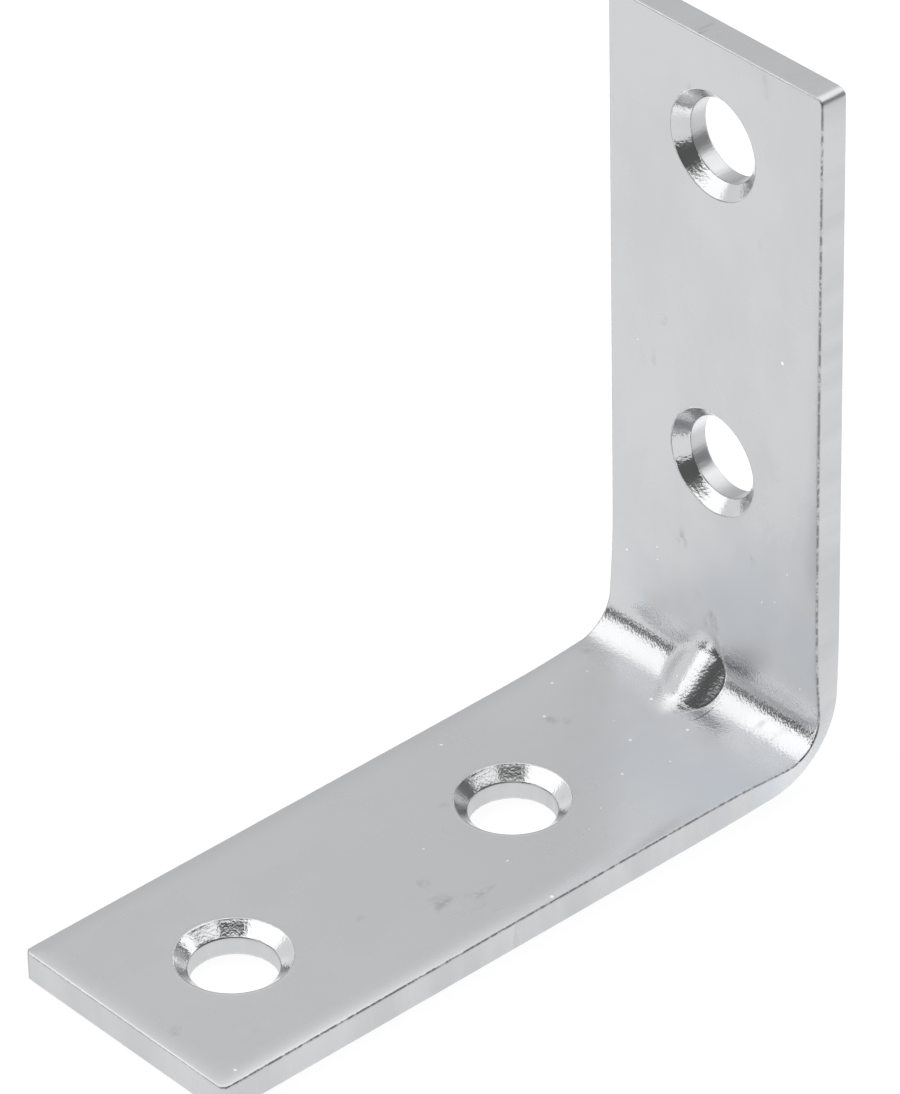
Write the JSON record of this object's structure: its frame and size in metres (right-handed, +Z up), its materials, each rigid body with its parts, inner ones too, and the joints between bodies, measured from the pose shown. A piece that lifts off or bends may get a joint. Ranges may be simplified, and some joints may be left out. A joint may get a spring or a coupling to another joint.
{
  "type": "corner brace bracket",
  "caption": "Flat steel strap bent to a right angle, with countersunk screw holes in line on each leg and a pressed rib across the inside of the bend.",
  "frame": {"origin": "middle of the footprint, on the underside of the foot leg", "axes": "+X across the strap, +Y towards the bend and square to the wall leg's back face, +Z up along the wall leg"},
  "size_m": [0.0192, 0.0508, 0.0496],
  "materials": {
    "zinc_plated_steel": "bright zinc plating over rolled steel strap, satin, with soft clouding and fine specks"
  },
  "bodies": {
    "root": {"corner_brace": "zinc_plated_steel"}
  },
  "joints": []
}
